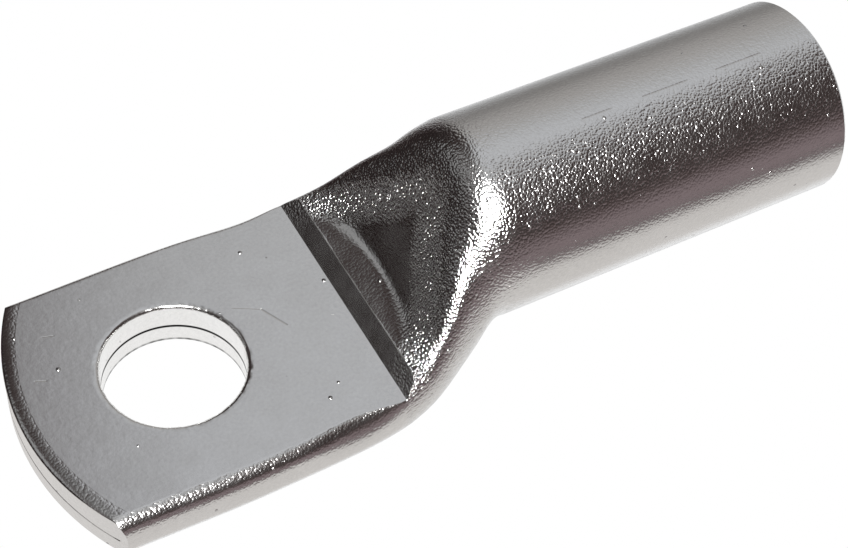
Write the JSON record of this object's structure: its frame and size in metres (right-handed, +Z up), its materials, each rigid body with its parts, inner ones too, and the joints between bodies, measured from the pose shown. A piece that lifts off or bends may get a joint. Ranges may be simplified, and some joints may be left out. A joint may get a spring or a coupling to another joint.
{
  "type": "cable lug",
  "caption": "Tubular compression cable lug: a round barrel takes a stripped conductor and is crimped on it, and the pressed palm bolts on a stud.",
  "frame": {"origin": "centre of the stud hole on the palm's underside", "axes": "+X from the stud hole along the barrel to its mouth, +Y across the palm, +Z up out of the palm"},
  "size_m": [0.0793, 0.0276, 0.0195],
  "materials": {
    "tin_plate": "satin bright tin plate over copper"
  },
  "bodies": {
    "root": {"cable_lug": "tin_plate"}
  },
  "joints": []
}
